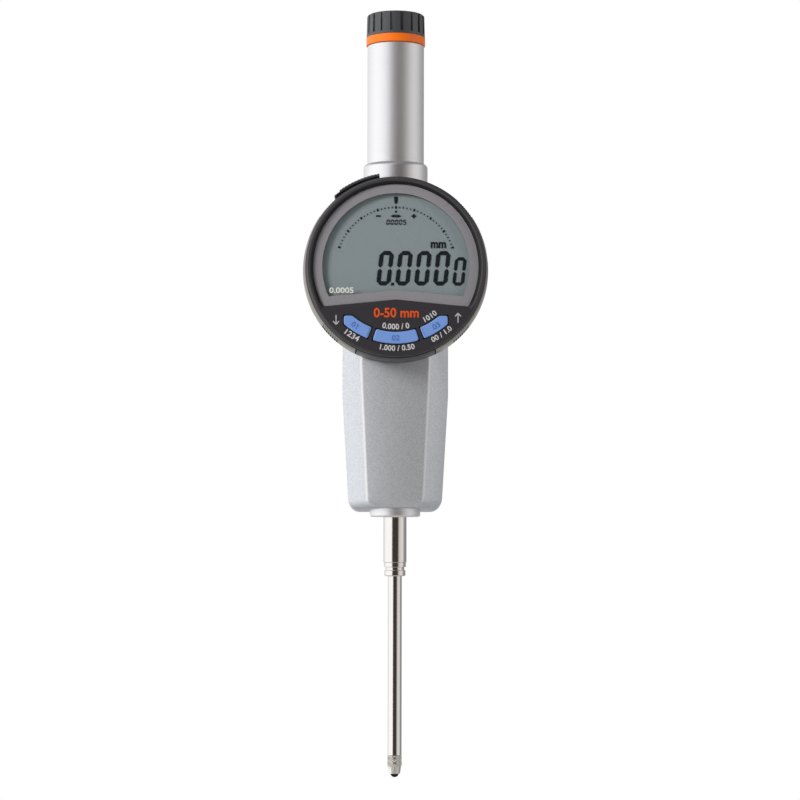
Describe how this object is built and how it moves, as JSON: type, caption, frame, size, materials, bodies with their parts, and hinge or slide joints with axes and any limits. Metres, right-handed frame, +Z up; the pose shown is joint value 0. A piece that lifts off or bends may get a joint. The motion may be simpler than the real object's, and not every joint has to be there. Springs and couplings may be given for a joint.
{
  "type": "dial indicator",
  "caption": "Long-stroke digital indicator: round display head that turns, key row, spring tube with screw cap, clamping stem, sprung spindle with ball contact.",
  "frame": {"origin": "on the spindle axis, half-way up the clamping stem's full diameter", "axes": "+Z up along the spindle towards the cap, -Y out of the display towards the reader, +X to the reader's right"},
  "size_m": [0.063, 0.0531, 0.262],
  "materials": {
    "casting_silver": "fine metallic silver paint",
    "tube_aluminium": "satin anodised",
    "polished_steel": "ground and polished",
    "inner_steel": "machined",
    "screw_steel": "blackened",
    "rubber_black": "matt",
    "brass": "machined",
    "pcb_green": "solder mask",
    "chip_black": "moulded",
    "flex_amber": "polyimide film",
    "carbide": "ground",
    "holder_aluminium": "machined",
    "scale_glass": "glass-fibre scale, gloss",
    "rim_grey": "satin",
    "black_plastic": "fine grain",
    "window_glass": "clear hard-coated",
    "fascia_dark": "fine grain",
    "mask_grey": "printed, satin",
    "lcd_glass": "reflective LCD",
    "frame_white": "moulded",
    "zebra_pink": "silicone",
    "mat_grey": "silicone",
    "button_blue": "satin",
    "battery_steel": "plated",
    "orange_ring": "satin"
  },
  "bodies": {
    "housing": {"housing": "casting_silver", "stem": "polished_steel", "stem_collar": "tube_aluminium", "wiper_holder": "polished_steel", "spindle_wiper": "rubber_black", "lower_bush": "brass", "upper_bush": "brass", "lower_bumper": "rubber_black", "guide_rail": "inner_steel", "detector_board": "pcb_green", "detector_chip": "chip_black", "frame_screws": "inner_steel", "flex_cable": "flex_amber", "spring_tube": "tube_aluminium", "spring_plug": "inner_steel", "return_spring": "inner_steel", "back_gasket": "rubber_black", "lug_back": "casting_silver", "lower_cover": "casting_silver", "cover_screws": "screw_steel", "stop_pin": "inner_steel", "display_seal": "rubber_black", "wave_washer": "inner_steel", "retaining_ring": "inner_steel"},
    "spindle": {"spindle": "polished_steel", "contact_point": "polished_steel", "contact_ball": "carbide", "carriage": "inner_steel", "carriage_screw": "inner_steel", "scale_holder": "holder_aluminium", "main_scale": "scale_glass", "guide_pin": "inner_steel", "guide_roller": "brass", "spring_collar": "inner_steel"},
    "display": {"display_case": "rim_grey", "bezel": "fascia_dark", "window": "window_glass", "lcd_mask": "mask_grey", "lcd_panel": "lcd_glass", "lcd_frame": "frame_white", "zebra_strips": "zebra_pink", "main_board": "pcb_green", "controller_chip": "chip_black", "keypad_mat": "mat_grey", "board_screws": "inner_steel", "battery_contacts": "brass", "data_connector": "black_plastic", "connector_pins": "brass", "flex_connector": "frame_white"},
    "button_left": {"button_left": "button_blue"},
    "button_centre": {"button_centre": "button_blue"},
    "button_right": {"button_right": "button_blue"},
    "battery_tray": {"battery_tray": "black_plastic", "battery": "battery_steel"},
    "connector_cap": {"connector_cap": "black_plastic"},
    "cap_ring": {"cap_ring": "orange_ring"},
    "top_cap": {"top_cap": "black_plastic", "cap_seal": "rubber_black"}
  },
  "joints": [
    {"name": "spindle_slide", "type": "slide", "parent": "housing", "child": "spindle", "axis": [0, 0, 1], "range_m": [0, 0.0508], "stiffness_N_per_m": 18, "springref_m": -0.08, "deforming": ["return_spring"]},
    {"name": "display_turn", "type": "hinge", "parent": "housing", "child": "display", "pos_m": [0, 0, 0.09135], "axis": [0, 1, 0], "range_deg": [-165, 165]},
    {"name": "button_left_press", "type": "slide", "parent": "display", "child": "button_left", "axis": [0, 1, 0], "range_m": [0, 0.0004], "stiffness_N_per_m": 1000, "springref_m": -0.0005},
    {"name": "button_centre_press", "type": "slide", "parent": "display", "child": "button_centre", "axis": [0, 1, 0], "range_m": [0, 0.0004], "stiffness_N_per_m": 1000, "springref_m": -0.0005},
    {"name": "button_right_press", "type": "slide", "parent": "display", "child": "button_right", "axis": [0, 1, 0], "range_m": [0, 0.0004], "stiffness_N_per_m": 1000, "springref_m": -0.0005},
    {"name": "battery_tray_slide", "type": "slide", "parent": "display", "child": "battery_tray", "axis": [0, 0, -1], "range_m": [0, 0.024]},
    {"name": "connector_cap_pull", "type": "slide", "parent": "display", "child": "connector_cap", "axis": [-0.3907, 0, 0.9205], "range_m": [0, 0.006]},
    {"name": "cap_lift", "type": "slide", "parent": "housing", "child": "cap_ring", "axis": [0, 0, 1], "range_m": [0, 0.005]},
    {"name": "cap_turn", "type": "hinge", "parent": "cap_ring", "child": "top_cap", "pos_m": [0, 0, 0.175], "axis": [0, 0, 1], "range_deg": [0, 1800.01]}
  ],
  "couplings": [
    {"joint": "cap_turn", "follows": "cap_lift", "rad_per_m": 6283.2}
  ]
}
